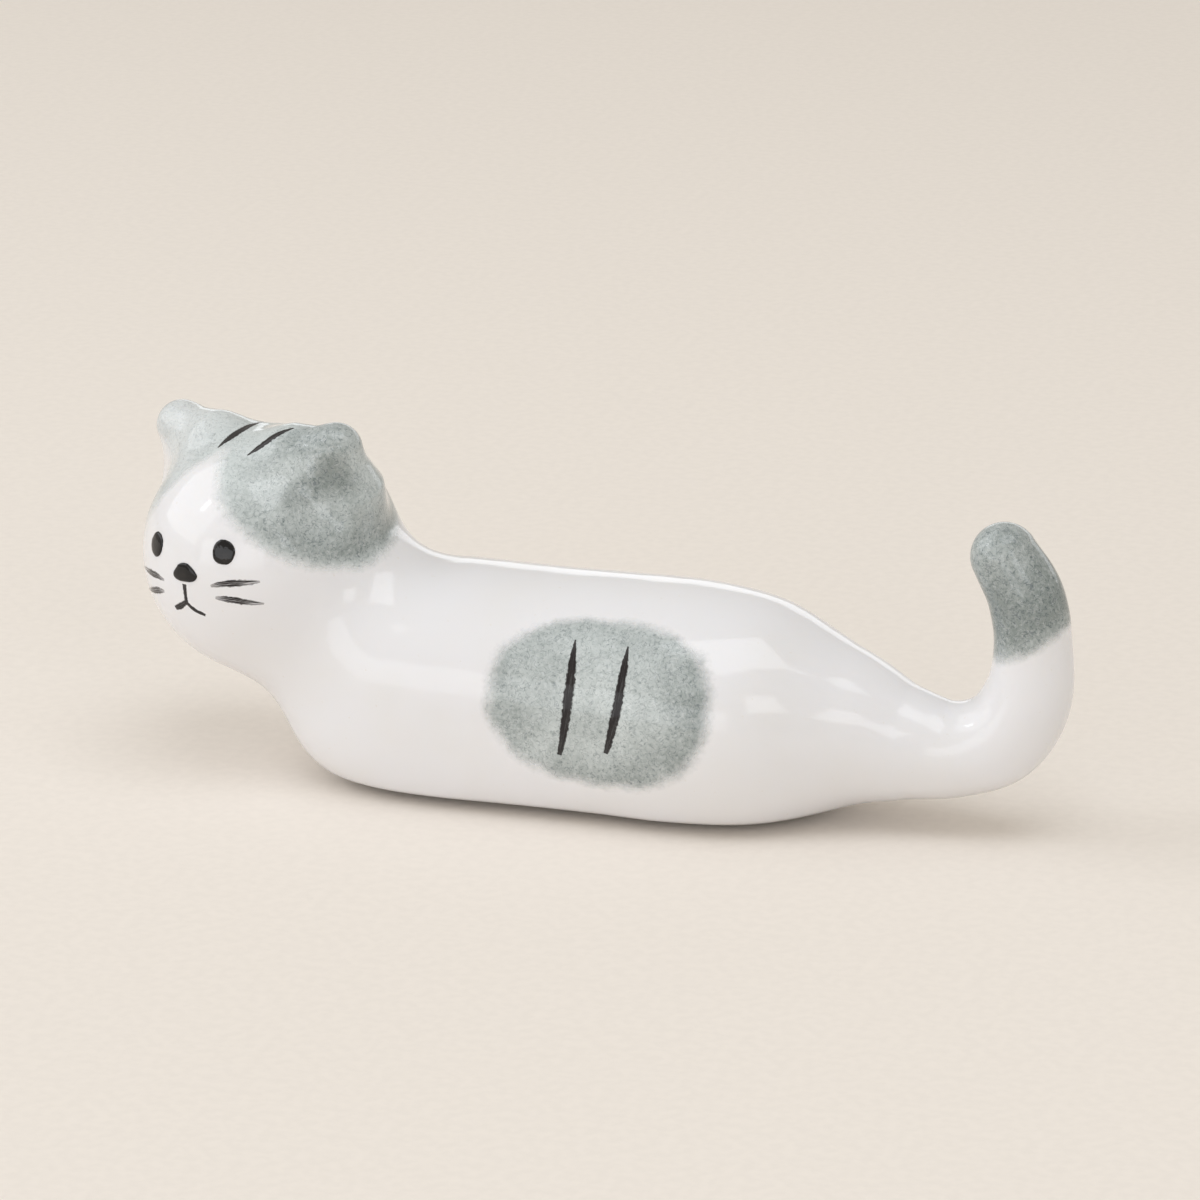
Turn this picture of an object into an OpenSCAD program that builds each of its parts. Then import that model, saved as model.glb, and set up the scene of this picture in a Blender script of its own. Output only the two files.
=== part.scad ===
// Glazed porcelain chopstick rest: a lying cat that looks over its left shoulder.
// +X runs from the head to the tail, -Y is the cat's left flank, +Z is up.
// The origin is under the middle of the part, on the table.
// The skin is one field of blended forms, and every colour mark lies on that skin.

/* [Head] */
// Width of the head across the cheeks
head_w = 20.4; // [18:0.2:23]
// Height of the head without its ears
head_h = 19.8; // [18:0.2:22]
// Height of the head's centre over the table
head_lift = 17.4; // [16:0.1:19]
// Distance from the shoulders forward to the head's centre
head_reach = 17.3; // [15.5:0.1:19]
// Turn of the face away from the body's line, in degrees
head_turn = 69; // [50:1:85]
// Tilt of the crown toward the cat's right, in degrees
head_roll = 5.5; // [0:0.5:8]
// Width of the soft fillet between head and body
neck_blend = 5.2; // [4:0.1:6.5]

/* [Ears] */
// Distance between the middles of the two ear tips
ear_tip_gap = 17.2; // [16.4:0.2:18]
// Height of the ear tips' middles over the head's centre
ear_tip_rise = 9.4; // [8.8:0.1:10.2]
// Diameter of the round ear tip
ear_tip_d = 3; // [2.4:0.1:3.6]
// Distance between the middles of the two ear roots
ear_root_gap = 15; // [14:0.2:16]
// Height of the ear roots' middles over the head's centre
ear_root_rise = 5.2; // [4.6:0.1:5.8]
// Diameter of the broad ear root
ear_root_d = 6.4; // [5.8:0.1:7]
// Distance between the inner ends of the two front rims
ear_rim_gap = 8; // [7:0.2:9]
// Height of those ends' middles over the head's centre
ear_rim_rise = 8.1; // [7.6:0.1:8.4]
// Diameter of a front rim at its inner end
ear_rim_d = 4.4; // [3.8:0.1:5]
// Distance that the ear tip leans ahead of its root
ear_lean = 0.8; // [0:0.1:1.4]
// Diameter of the hollow in the front of each ear
ear_hollow_d = 5.4; // [4.6:0.1:6]

/* [Trunk] */
// Length of the trunk from the shoulders to the root of the tail
trunk_len = 30; // [26:0.5:36]
// Length of the chest ahead of the shoulders
chest_len = 15.8; // [14:0.1:17]
// Width of the trunk at the haunches
haunch_w = 20.4; // [18:0.2:23]
// Height of the back, where the chopsticks lie
back_h = 17.7; // [16.5:0.1:18.5]
// Height of the line through the middle of the trunk
spine_h = 8; // [7.4:0.1:8.6]
// Radius of the edge between flank and underside
belly_round = 1.6; // [1:0.1:2.2]

/* [Tail] */
// Distance from the root of the tail to the back of its bend
tail_reach = 14.5; // [12.5:0.1:17]
// Height of the middle of the tail's tip
tail_h = 22.3; // [20:0.1:26]
// Thickness of the tail where it starts to bend
tail_d = 7.4; // [6.6:0.1:8]

/* [Foot] */
// Height of the bare foot under the glaze
foot_h = 0.4; // [0.3:0.05:0.6]
// Width of the bare foot
foot_w = 7.8; // [6:0.2:8.4]
// Length of the bare foot
foot_len = 28; // [24:0.5:29]

/* [Colour marks] */
// Clear glaze between the porcelain and a colour mark
film_t = 0.08; // [0.06:0.01:0.12]
// Thickness of a grey patch
patch_t = 0.12; // [0.1:0.01:0.2]
// Thickness of a black mark
mark_t = 0.12; // [0.1:0.01:0.2]
// Length of a flank patch
patch_len = 17.4; // [15:0.2:20]
// Height of a flank patch, measured round the flank
patch_h = 13.4; // [11:0.2:14]
// Distance between the middles of the eyes, measured over the skin
eye_gap = 7.2; // [6.2:0.1:8]
// Width of an eye
eye_w = 1.85; // [1.5:0.05:2.3]
// Height of an eye
eye_h = 2.1; // [1.6:0.05:2.4]
// Width of the nose
nose_w = 2.4; // [2:0.1:2.8]
// Height of the nose
nose_h = 1.5; // [1.2:0.1:1.8]
// Width of the two lines of the mouth
mouth_line_w = 0.5; // [0.35:0.05:0.6]
// Distance from the middle of the face out to the whisker ends
whisker_reach = 6.4; // [5.8:0.1:7.2]
// Width of a whisker
whisker_w = 0.65; // [0.5:0.05:0.8]
// Width of a crown stripe
crown_stripe_w = 0.8; // [0.5:0.05:1]
// Width of a flank stripe
flank_stripe_w = 0.9; // [0.6:0.05:1.2]

/* [Hidden] */

// Counts of faces
round_count = 54;
crown_count = 14;
brow_count = 4;
fan_count = 20;
tube_count = 27;
tip_count = 5;
search_count = 16;
patch_count = 32;
eye_count = 20;
nose_count = 24;
line_count = 8;
tail_patch_rows = 10;
tail_patch_count = 27;

// Roundness of the sections: 2 is an ellipse, more is squarer
back_power = 2.2;
belly_power = 2.8;
chest_power = 2.5;
patch_power = 2.3;

// Trunk, from the shoulders back, in equal steps: spine height, half width, half height
trunk_shares = [
    [1, 0.93, 1], [1, 0.945, 0.99], [0.995, 0.97, 1],
    [0.975, 1, 1.01], [0.94, 0.92, 0.93], [0.9, 0.63, 0.66]
];
// Tail, from its root to its tip: reach, height, thickness
tail_shares = [
    [0.31, 0.296, 1.24], [0.59, 0.291, 1.01], [0.83, 0.354, 0.985], [0.97, 0.502, 0.92],
    [1, 0.69, 0.81], [0.95, 0.861, 0.785], [0.83, 1, 0.7]
];
// Lower edge of the crown patch, from its parting over the forehead round to the back,
// as shares of a right angle: over the cat's left side, then over its right side
left_edge_shares = [0.4, 0.78, 1.015, 1.095, 1.03, 0.97, 0.97];
right_edge_shares = [0.4, 0.98, 1.06, 1.07, 1.03, 0.97, 0.97];
// Turn of that parting from the middle of the face, toward the cat's right
parting_angle = 13;
// Lower edge of the tail patch, from the inside of the bend to its outside, as shares of tail_h
tail_edge_share = 0.66;
tail_edge_slant_share = 0.11;
// Rows and rays that close the end of the tail, counted in steps between stations
tip_run_share = 1.2;
// Rays and rows that stand closer together at the ears: an angle, and a share of a row
ear_crowding = 13;
row_crowding_share = 0.07;
// Greatest tilt of the skin's last row along the wash, and the least width of the wash's rim
brow_limit = 88;
rim_angle = 1;
// Edge of a patch, as a share of its thickness
rim_share = 0.5;
// Section of a brushed line: half widths across, thicknesses up
line_section_shares = [[-1, 0.3], [-0.5, 1], [0.5, 1], [1, 0.3], [0, 0]];
line_end_share = 0.08;
// Section of a small filled mark and of a patch: shares of the outline, thicknesses up
dot_section_shares = [[0.45, 1], [0.85, 0.85], [1, 0.4], [0.6, 0]];
patch_section_shares = [
    [0.25, 1], [0.5, 1], [0.75, 1], [0.94, 0.85], [1, 0.4], [0.8, 0], [0.54, 0], [0.27, 0]
];
// Depth of the nose's three flat sides
nose_corner_share = 0.16;

// Colours
glaze_white = [0.93, 0.93, 0.94];
clay_white = [0.86, 0.83, 0.78];
wash_grey = [0.62, 0.67, 0.68];
ink_black = [0.12, 0.12, 0.12];

// Places along the trunk
nape_over = 2.3;
front_run = max(
    head_reach + head_w / 2,
    head_reach - head_place([ear_lean / 2, -ear_tip_gap / 2, ear_tip_rise], 0)[0] + ear_tip_d / 2,
    head_reach - head_place([-ear_lean / 2, -ear_root_gap / 2, ear_root_rise], 0)[0] + ear_root_d / 2
);
rear_run = trunk_len + tail_reach + tail_shares[4][2] * tail_d / 2;
shoulder_x = (front_run - rear_run) / 2;
head_x = shoulder_x - head_reach;
pivot_h = back_h + nape_over;
root_x = shoulder_x + trunk_len;
trunk_half_h = back_h - spine_h;
rim_lead = 0.8;
rim_blend = 1;
hollow_lead = 3.2;
hollow_out = 1.9;
hollow_drop = 2.6;
hollow_blend = 1;
ear_blend = 3.6;
foot_front_share = 0.56;
foot_start = 8.6;
patch_start = 12.6;
patch_drop_angle = 74;
eye_rise = 2.42;
nose_rise = 0.45;

// Directions of the turned and tilted head: ahead, to the cat's left, up
function head_place(p, lift) =
    let (
        ahead = [-cos(head_turn), -sin(head_turn), 0],
        level = [sin(head_turn), -cos(head_turn), 0],
        left = level * cos(head_roll) + [0, 0, sin(head_roll)],
        up = [0, 0, cos(head_roll)] - level * sin(head_roll)
    ) p[0] * ahead + p[1] * left + p[2] * up + [0, 0, lift];

head_middle = [head_x, 0, head_lift];
ear_ends = [
    for (side = [-1, 1]) [
        head_middle + head_place([-ear_lean / 2, side * ear_root_gap / 2, ear_root_rise], 0),
        head_middle + head_place([ear_lean / 2, side * ear_tip_gap / 2, ear_tip_rise], 0),
        head_middle + head_place([
            ear_lean / 2 + hollow_lead,
            side * (ear_tip_gap / 2 + hollow_out),
            ear_tip_rise - hollow_drop
        ], 0),
        head_middle + head_place([rim_lead, side * ear_rim_gap / 2, ear_rim_rise], 0)
    ]
];

// Blending of two distances over a width
function blend(a, b, width) =
    let (h = max(width - abs(a - b), 0) / width) min(a, b) - h * h * width / 4;

// Distance to a ball stretched to three half sizes
function ball_gap(p, half) =
    let (
        q = [for (i = [0:2]) p[i] / half[i]],
        s = [for (i = [0:2]) q[i] / half[i]],
        k = norm(q)
    ) k * (k - 1) / max(norm(s), 1 / head_w / 1000);

// Distance to the blunt front of the trunk
function chest_gap(p) =
    let (
        power = p[2] < 0 ? belly_power : back_power,
        side = abs(p[1]) / (trunk_shares[0][1] * haunch_w / 2),
        rise = abs(p[2]) / trunk_half_h,
        round = pow(pow(side, power) + pow(rise, power), chest_power / power),
        k = pow(pow(abs(p[0]) / chest_len, chest_power) + round, 1 / chest_power)
    ) norm(p) * (1 - 1 / max(k, 0.001));

// Distance to a cone with round ends
function cone_gap(p, from, to, from_r, to_r) =
    let (
        run = to - from,
        t = min(max((p - from) * run / (run * run), 0), 1)
    ) norm(p - from - t * run) - from_r - (to_r - from_r) * t;

// One ear added to a distance: its back and its front rim, and the hollow between them
function with_ear(gap, p, ends) =
    let (
        back = cone_gap(p, ends[0], ends[1], ear_root_d / 2, ear_tip_d / 2),
        rim = cone_gap(p, ends[3], ends[1], ear_rim_d / 2, ear_tip_d / 2),
        full = blend(gap, blend(back, rim, rim_blend), ear_blend),
        hollow = norm(p - ends[2]) - ear_hollow_d / 2
    ) -blend(-full, hollow, hollow_blend);

// Distance from a point to the skin of head and chest, negative inside
function skin_gap(p) =
    let (
        head = ball_gap(p - head_middle, [head_w / 2, head_w / 2, head_h / 2]),
        chest = chest_gap(p - [shoulder_x, 0, spine_h]),
        both = blend(head, chest, neck_blend)
    ) with_ear(with_ear(both, p, ear_ends[0]), p, ear_ends[1]);

// Length of a ray from inside the head or chest out to a height over the skin
function ray_len(from, way, lift, low, high, steps) =
    steps == 0 ? (low + high) / 2
    : let (mid = (low + high) / 2)
      skin_gap(from + mid * way) < lift
      ? ray_len(from, way, lift, mid, high, steps - 1)
      : ray_len(from, way, lift, low, mid, steps - 1);

// The same length, cut off softly at the plane of the foot
function cut_len(from, way, length) =
    way[2] > -0.05 ? length : blend(length, (from[2] - foot_h) / -way[2], belly_round);

function skin_point(from, way, lift) =
    from + way * cut_len(from, way, ray_len(from, way, lift, 0, head_w, search_count));

// Smooth value from a list of shares over a half turn, mirrored on the other half
function share_at(shares, turn) =
    let (
        last = len(shares) - 1,
        t = abs(turn) / 180 * last, i = min(floor(t), last - 1), u = t - i,
        a = shares[abs(i - 1)], b = shares[i], c = shares[i + 1],
        d = shares[i + 2 > last ? 2 * last - i - 2 : i + 2]
    ) (2 * b + (c - a) * u + (2 * a - 5 * b + 4 * c - d) * u * u
        + (3 * b - a - 3 * c + d) * u * u * u) / 2;

// Crown of the head: rays that open from straight up to level
function cap_point(tilt, turn, lift) =
    skin_point(
        [head_x, 0, pivot_h],
        [cos(turn) * sin(tilt), -sin(turn) * sin(tilt), cos(tilt)],
        lift
    );
// Rays stand closer together at the two ears
face_angle = 180 - head_turn;
function crowded_turn(j, share) =
    let (turn = 360 * j / round_count)
    turn - share * ear_crowding * sin(2 * (turn - face_angle + 90));
function crowded_share(i, count) = i / count + row_crowding_share * sin(360 * i / count);
// Tilt of the wash's lower edge, and of the last row of the skin that follows it
function crown_edge(turn) =
    let (off = (turn - face_angle - parting_angle + 540) % 360 - 180)
    90 * share_at(off < 0 ? left_edge_shares : right_edge_shares, off);
function brow_tilt(turn) = min(crown_edge(turn), brow_limit);

// Head, neck and chest: sections that fan about a line over the nape
function fan_point(swing, turn, lift) =
    let (
        reach = head_reach * pow(sin(swing), 2) + (pivot_h - spine_h) * pow(cos(swing), 2),
        from = [shoulder_x - reach * sin(swing), 0, pivot_h - reach * cos(swing)]
    ) skin_point(from, [cos(turn) * sin(swing), -sin(turn), cos(turn) * cos(swing)], lift);

// Stations of trunk and tail: x, z, half width, half height
function stations() = concat(
    [for (i = [0:len(trunk_shares) - 1]) [
        shoulder_x + trunk_len * i / (len(trunk_shares) - 1),
        trunk_shares[i][0] * spine_h,
        trunk_shares[i][1] * haunch_w / 2,
        trunk_shares[i][2] * trunk_half_h
    ]],
    [for (s = tail_shares) [
        root_x + s[0] * tail_reach, s[1] * tail_h, s[2] * tail_d / 2, s[2] * tail_d / 2
    ]]
);
station_rows = stations();
last_station = len(station_rows) - 1;

// Smooth curve through the stations, as a place and a direction
function station_row(i) =
    i < 0 ? 2 * station_rows[0] - station_rows[1]
    : i > last_station ? 2 * station_rows[last_station] - station_rows[last_station - 1]
    : station_rows[i];
function spine_row(t) =
    let (
        i = min(floor(t), last_station - 1), u = t - i,
        a = station_row(i - 1), b = station_row(i), c = station_row(i + 1), d = station_row(i + 2)
    ) (2 * b + (c - a) * u + (2 * a - 5 * b + 4 * c - d) * u * u
        + (3 * b - a - 3 * c + d) * u * u * u) / 2;
function spine_way(t) =
    let (
        i = min(floor(t), last_station - 1), u = t - i,
        a = station_row(i - 1), b = station_row(i), c = station_row(i + 1), d = station_row(i + 2),
        w = (c - a) + 2 * (2 * a - 5 * b + 4 * c - d) * u + 3 * (3 * b - a - 3 * c + d) * u * u
    ) [w[0], w[1]] / norm([w[0], w[1]]);

// Trunk and tail: sections square to the spine
function tube_point(t, turn, lift) =
    let (
        row = spine_row(t), way = spine_way(t),
        power = 2 + ((cos(turn) < 0 ? belly_power : back_power) - 2)
            * max(0, 1 - t / (len(trunk_shares) - 1)),
        round = pow(abs(sin(turn)) / row[2], power) + pow(abs(cos(turn)) / row[3], power),
        from = [row[0], 0, row[1]],
        out = [-way[1] * cos(turn), -sin(turn), way[0] * cos(turn)]
    ) from + out * (cut_len(from, out, pow(round, -1 / power)) + lift);

// Round end of the tail
function tip_point(bend, turn, lift) =
    let (
        row = spine_row(last_station), way = spine_way(last_station),
        out = [-way[1] * cos(turn), -sin(turn), way[0] * cos(turn)]
    ) [row[0], 0, row[1]]
        + (row[3] + lift) * (out * cos(bend) + [way[0], 0, way[1]] * sin(bend));

// Charts that lay flat marks on the skin, in lengths measured over the skin
function face_point(across, up, lift) =
    let (
        side = across / (head_w / 2) * 180 / PI,
        rise = up / (head_w / 2) * 180 / PI
    ) skin_point(
        head_middle, head_place([cos(side) * cos(rise), sin(side), cos(side) * sin(rise)], 0), lift
    );
function flank_point(hand, along, down, lift) =
    tube_point(
        (patch_start + along) / trunk_len * (len(trunk_shares) - 1),
        hand * (patch_drop_angle + down / (haunch_w / 2) * 180 / PI),
        lift
    );

// Closed skin over a stack of rings with a point at each end; past the fold it runs back inside
module ringed_solid(rings, first, last, hand = 1, fold = undef) {
    rows = len(rings);
    turn_back = is_undef(fold) ? rows : fold;
    count = len(rings[0]);
    points = concat([first], [for (ring = rings) each ring], [last]);
    faces = concat(
        [for (j = [0:count - 1]) [0, 1 + j, 1 + (j + 1) % count]],
        [for (i = [0:rows - 2], j = [0:count - 1])
            let (a = 1 + i * count + j, b = 1 + i * count + (j + 1) % count)
            each i < turn_back
                ? [[a, a + count, b + count], [a, b + count, b]]
                : [[a, a + count, b], [b, a + count, b + count]]],
        [for (j = [0:count - 1])
            let (a = 1 + (rows - 1) * count)
            [rows * count + 1, a + (j + 1) % count, a + j]]
    );
    polyhedron(points, hand > 0 ? faces : [for (f = faces) [f[2], f[1], f[0]]], convexity = 8);
}

// Brushed line: rows of across, up and width, each drawn through in short steps
function line_row(rows, t) =
    let (
        i = min(floor(t), len(rows) - 2), u = t - i,
        b = rows[i], c = rows[i + 1],
        a = i == 0 ? 2 * b - c : rows[i - 1],
        d = i + 2 > len(rows) - 1 ? 2 * c - b : rows[i + 2]
    ) (2 * b + (c - a) * u + (2 * a - 5 * b + 4 * c - d) * u * u
        + (3 * b - a - 3 * c + d) * u * u * u) / 2;
module brushed_line(rows, lift, chart, hand = -1) {
    last = len(rows) - 1;
    cuts = [for (k = [0:line_count]) line_row(rows, last * k / line_count)];
    rings = [
        for (k = [0:line_count])
        let (
            before = cuts[max(k - 1, 0)], after = cuts[min(k + 1, line_count)],
            way = [after[0] - before[0], after[1] - before[1]],
            half = cuts[k][2] / 2 * [-way[1], way[0]] / norm(way)
        ) [for (corner = line_section_shares)
            chart(
                cuts[k][0] + corner[0] * half[0], cuts[k][1] + corner[0] * half[1],
                lift + corner[1] * mark_t
            )]
    ];
    first = cuts[0] + line_end_share * (cuts[0] - cuts[1]);
    last_cut = cuts[line_count] + line_end_share * (cuts[line_count] - cuts[line_count - 1]);
    ringed_solid(
        rings,
        chart(first[0], first[1], lift + mark_t / 2),
        chart(last_cut[0], last_cut[1], lift + mark_t / 2),
        hand
    );
}

// Filled mark: an outline about a middle, with a crowned top and a flat back
module filled_mark(middle, section, count, outline, lift, thick, chart, hand = 1) {
    rings = [
        for (row = section)
        [for (j = [0:count - 1])
            let (p = middle + row[0] * outline(-360 * j / count))
            chart(p[0], p[1], lift + row[1] * thick)]
    ];
    ringed_solid(
        rings,
        chart(middle[0], middle[1], lift + thick),
        chart(middle[0], middle[1], lift),
        hand
    );
}

module porcelain_body() {
    rings = concat(
        [for (i = [1:crown_count])
            [for (j = [0:round_count - 1])
                let (turn = crowded_turn(j, 1))
                cap_point(crowded_share(i, crown_count) * brow_tilt(turn), turn, 0)]],
        [for (i = [1:brow_count - 1])
            [for (j = [0:round_count - 1])
                let (turn = crowded_turn(j, 1), edge = brow_tilt(turn))
                cap_point(edge + (90 - edge) * i / brow_count, turn, 0)]],
        [for (i = [0:fan_count])
            [for (j = [0:round_count - 1])
                fan_point(90 - 90 * i / fan_count, crowded_turn(j, 1 - i / fan_count), 0)]],
        [for (i = [1:tube_count])
            [for (j = [0:round_count - 1])
                tube_point(last_station * i / tube_count, 360 * j / round_count, 0)]],
        [for (i = [1:tip_count - 1])
            [for (j = [0:round_count - 1])
                tip_point(90 * i / tip_count, 360 * j / round_count, 0)]]
    );
    color(glaze_white) ringed_solid(rings, cap_point(0, 0, 0), tip_point(90, 0, 0));
}

module bare_foot() {
    front = foot_len * foot_front_share;
    back = foot_len - front;
    middle = shoulder_x - foot_start + front;
    color(clay_white)
        linear_extrude(foot_h)
            polygon([for (j = [0:round_count - 1])
                let (turn = 360 * j / round_count)
                [middle + (cos(turn) < 0 ? front : back) * cos(turn), foot_w / 2 * sin(turn)]]);
}

// Wash over the crown: the skin's own rows, then two more down to the wash's edge
function crown_rows(lift) = concat(
    [for (i = [1:crown_count])
        [for (j = [0:round_count - 1])
            let (turn = crowded_turn(j, 1))
            cap_point(crowded_share(i, crown_count) * brow_tilt(turn), turn, lift)]],
    [for (i = [1:2])
        [for (j = [0:round_count - 1])
            let (turn = crowded_turn(j, 1), edge = brow_tilt(turn))
            cap_point(
                edge + max(crown_edge(turn) - edge, rim_angle) * i / 2, turn,
                lift - (i - 1) * rim_share * patch_t
            )]]
);
module crown_patch() {
    outer = crown_rows(film_t + patch_t);
    inner = crown_rows(film_t);
    color(wash_grey)
        ringed_solid(
            concat(outer, [for (i = [len(inner) - 2:-1:0]) inner[i]]),
            cap_point(0, 0, film_t + patch_t), cap_point(0, 0, film_t),
            fold = len(outer) - 1
        );
}

module flank_patch(hand) {
    color(wash_grey)
        filled_mark(
            [0, 0], patch_section_shares, patch_count,
            function (turn) let (
                round = pow(abs(cos(turn)), patch_power) + pow(abs(sin(turn)), patch_power),
                k = pow(round, -1 / patch_power)
            ) [patch_len / 2 * k * cos(turn), -patch_h / 2 * k * sin(turn)],
            film_t, patch_t,
            function (along, down, lift) flank_point(hand, along, down, lift),
            hand
        );
}

// Grey end of the tail: a thimble whose lower edge slants up toward the outside
function tail_mark_point(share, turn, lift) =
    let (
        edge = tail_edge_share + tail_edge_slant_share * (1 - cos(turn)) / 2,
        rise = [for (s = tail_shares) s[1]],
        below = max([for (i = [0:len(rise) - 1]) rise[i] <= edge ? i : 0]),
        start = len(trunk_shares) + below
            + (edge - rise[below]) / (rise[below + 1] - rise[below]),
        t = start + (1 - share) * (last_station + tip_run_share - start)
    ) t <= last_station
        ? tube_point(t, turn, lift)
        : tip_point(90 * min((t - last_station) / tip_run_share, 1), turn, lift);
function tail_mark_ring(i, lift) =
    [for (j = [0:tail_patch_count - 1])
        tail_mark_point(i / tail_patch_rows, -360 * j / tail_patch_count, lift)];
module tail_tip_patch() {
    rings = concat(
        [for (i = [1:tail_patch_rows])
            tail_mark_ring(i, film_t + (i == tail_patch_rows ? rim_share : 1) * patch_t)],
        [for (i = [tail_patch_rows - 1:-1:1]) tail_mark_ring(i, film_t)]
    );
    color(wash_grey)
        ringed_solid(
            rings, tip_point(90, 0, film_t + patch_t), tip_point(90, 0, film_t),
            fold = tail_patch_rows - 1
        );
}

module eye(hand) {
    color(ink_black)
        filled_mark(
            [hand * eye_gap / 2, eye_rise], dot_section_shares, eye_count,
            function (turn) [eye_w / 2 * cos(turn), eye_h / 2 * sin(turn)],
            film_t, mark_t,
            function (across, up, lift) face_point(across, up, lift)
        );
}

// Rounded triangle that points down
module nose() {
    color(ink_black)
        filled_mark(
            [0, nose_rise], dot_section_shares, nose_count,
            function (turn) let (k = 1 - nose_corner_share * sin(3 * turn))
                [nose_w / 2 * k * cos(turn), nose_h / 2 * k * sin(turn)],
            film_t, mark_t,
            function (across, up, lift) face_point(across, up, lift)
        );
}

// Lines of the mouth, in shares of the eye gap; the last value is a share of the line's width
philtrum_shares = [[-0.01, -0.07, 1], [-0.015, -0.16, 0.85], [-0.025, -0.25, 0.9]];
left_mouth_shares = [[0, -0.29, 0.8], [0.05, -0.34, 0.8], [0.18, -0.405, 0.6]];
right_mouth_shares = [[-0.06, -0.285, 1], [-0.14, -0.33, 1.1], [-0.225, -0.365, 0.8]];
module mouth_line(shares) {
    color(ink_black)
        brushed_line(
            [for (s = shares) [s[0] * eye_gap, s[1] * eye_gap, s[2] * mouth_line_w]],
            film_t,
            function (across, up, lift) face_point(across, up, lift)
        );
}
module philtrum_line() mouth_line(philtrum_shares);
module left_mouth_stroke() mouth_line(left_mouth_shares);
module right_mouth_stroke() mouth_line(right_mouth_shares);

// Whiskers, in shares of the whisker reach, from the nose outward
upper_whisker_shares = [[0.4, -0.06, 0.35], [0.55, -0.035, 0.9], [0.8, -0.025, 1], [1, -0.02, 0.4]];
lower_whisker_shares = [[0.44, -0.22, 0.4], [0.6, -0.245, 1], [0.82, -0.31, 0.9], [1, -0.37, 0.35]];
module whisker(shares, hand) {
    color(ink_black)
        brushed_line(
            [for (s = shares) [hand * s[0] * whisker_reach, s[1] * whisker_reach, s[2] * whisker_w]],
            film_t,
            function (across, up, lift) face_point(across, up, lift)
        );
}

// Crown stripes lie on the crown patch; places are shares of the eye gap over the skin
left_crown_shares = [[0.35, 1.57, 0.2], [0.43, 1.71, 0.8], [0.51, 1.86, 0.8], [0.6, 2.01, 0.25]];
right_crown_shares = [[-0.12, 1.62, 0.2], [-0.085, 1.83, 1], [-0.075, 2.08, 0.8], [-0.1, 2.36, 0.25]];
module crown_stripe(shares) {
    color(ink_black)
        brushed_line(
            [for (s = shares) [s[0] * eye_gap, s[1] * eye_gap, s[2] * crown_stripe_w]],
            film_t + patch_t + film_t,
            function (across, up, lift) face_point(across, up, lift)
        );
}

// Flank stripes lie on the flank patch: shares of its half length, half height and stripe width
front_stripe_shares = [
    [-0.28, -0.7, 0.15], [-0.265, -0.4, 0.8], [-0.265, 0, 1], [-0.29, 0.4, 0.8], [-0.33, 0.68, 0.5]
];
rear_stripe_shares = [
    [0.2, -0.68, 0.15], [0.205, -0.4, 0.75], [0.195, 0, 0.95], [0.15, 0.35, 0.85], [0.11, 0.58, 0.5]
];
module flank_stripe(shares, hand) {
    rows = [for (s = shares)
        [s[0] * patch_len / 2, s[1] * patch_h / 2, s[2] * flank_stripe_w]];
    color(ink_black)
        brushed_line(
            rows, film_t + patch_t + film_t,
            function (along, down, lift) flank_point(hand, along, down, lift),
            hand
        );
}

module left_flank_patch() flank_patch(1);
module right_flank_patch() flank_patch(-1);
module left_eye() eye(1);
module right_eye() eye(-1);
module left_upper_whisker() whisker(upper_whisker_shares, 1);
module left_lower_whisker() whisker(lower_whisker_shares, 1);
module right_upper_whisker() whisker(upper_whisker_shares, -1);
module right_lower_whisker() whisker(lower_whisker_shares, -1);
module left_crown_stripe() crown_stripe(left_crown_shares);
module right_crown_stripe() crown_stripe(right_crown_shares);
module left_front_stripe() flank_stripe(front_stripe_shares, 1);
module left_rear_stripe() flank_stripe(rear_stripe_shares, 1);
module right_front_stripe() flank_stripe(front_stripe_shares, -1);
module right_rear_stripe() flank_stripe(rear_stripe_shares, -1);

porcelain_body();
bare_foot();
crown_patch();
left_flank_patch();
right_flank_patch();
tail_tip_patch();
left_eye();
right_eye();
nose();
philtrum_line();
left_mouth_stroke();
right_mouth_stroke();
left_upper_whisker();
left_lower_whisker();
right_upper_whisker();
right_lower_whisker();
left_crown_stripe();
right_crown_stripe();
left_front_stripe();
left_rear_stripe();
right_front_stripe();
right_rear_stripe();
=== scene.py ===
import math
from functools import partial

import bpy
import numpy as np
from bpy.props import FloatProperty, FloatVectorProperty, IntProperty, PointerProperty
from bpy.types import Operator, Panel, PropertyGroup
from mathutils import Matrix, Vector


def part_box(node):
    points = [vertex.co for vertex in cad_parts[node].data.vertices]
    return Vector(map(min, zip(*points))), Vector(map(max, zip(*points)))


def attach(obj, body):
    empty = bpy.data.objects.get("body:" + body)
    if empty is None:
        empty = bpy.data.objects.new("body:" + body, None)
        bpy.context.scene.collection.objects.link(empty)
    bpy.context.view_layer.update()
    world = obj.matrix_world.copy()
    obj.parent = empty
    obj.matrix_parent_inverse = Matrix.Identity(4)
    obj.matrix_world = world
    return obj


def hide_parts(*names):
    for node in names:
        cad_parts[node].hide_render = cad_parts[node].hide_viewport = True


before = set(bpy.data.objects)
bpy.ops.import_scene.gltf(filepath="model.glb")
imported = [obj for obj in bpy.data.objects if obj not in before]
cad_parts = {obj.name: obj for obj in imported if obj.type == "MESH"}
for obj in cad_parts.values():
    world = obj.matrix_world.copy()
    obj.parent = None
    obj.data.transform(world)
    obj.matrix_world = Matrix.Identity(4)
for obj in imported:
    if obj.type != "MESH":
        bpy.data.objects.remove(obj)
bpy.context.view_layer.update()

bl_info = {
    "name": "Porcelain cat chopstick rest",
    "version": (1, 0, 0),
    "blender": (4, 5, 0),
    "location": "View3D > Sidebar > Cat Rest",
    "description": "Builds a lying cat's glazed skin, brushed colours and studio",
    "category": "Object",
}

BODY = "root"
QUARTER, WHOLE = math.pi / 2, 2 * math.pi

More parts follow.
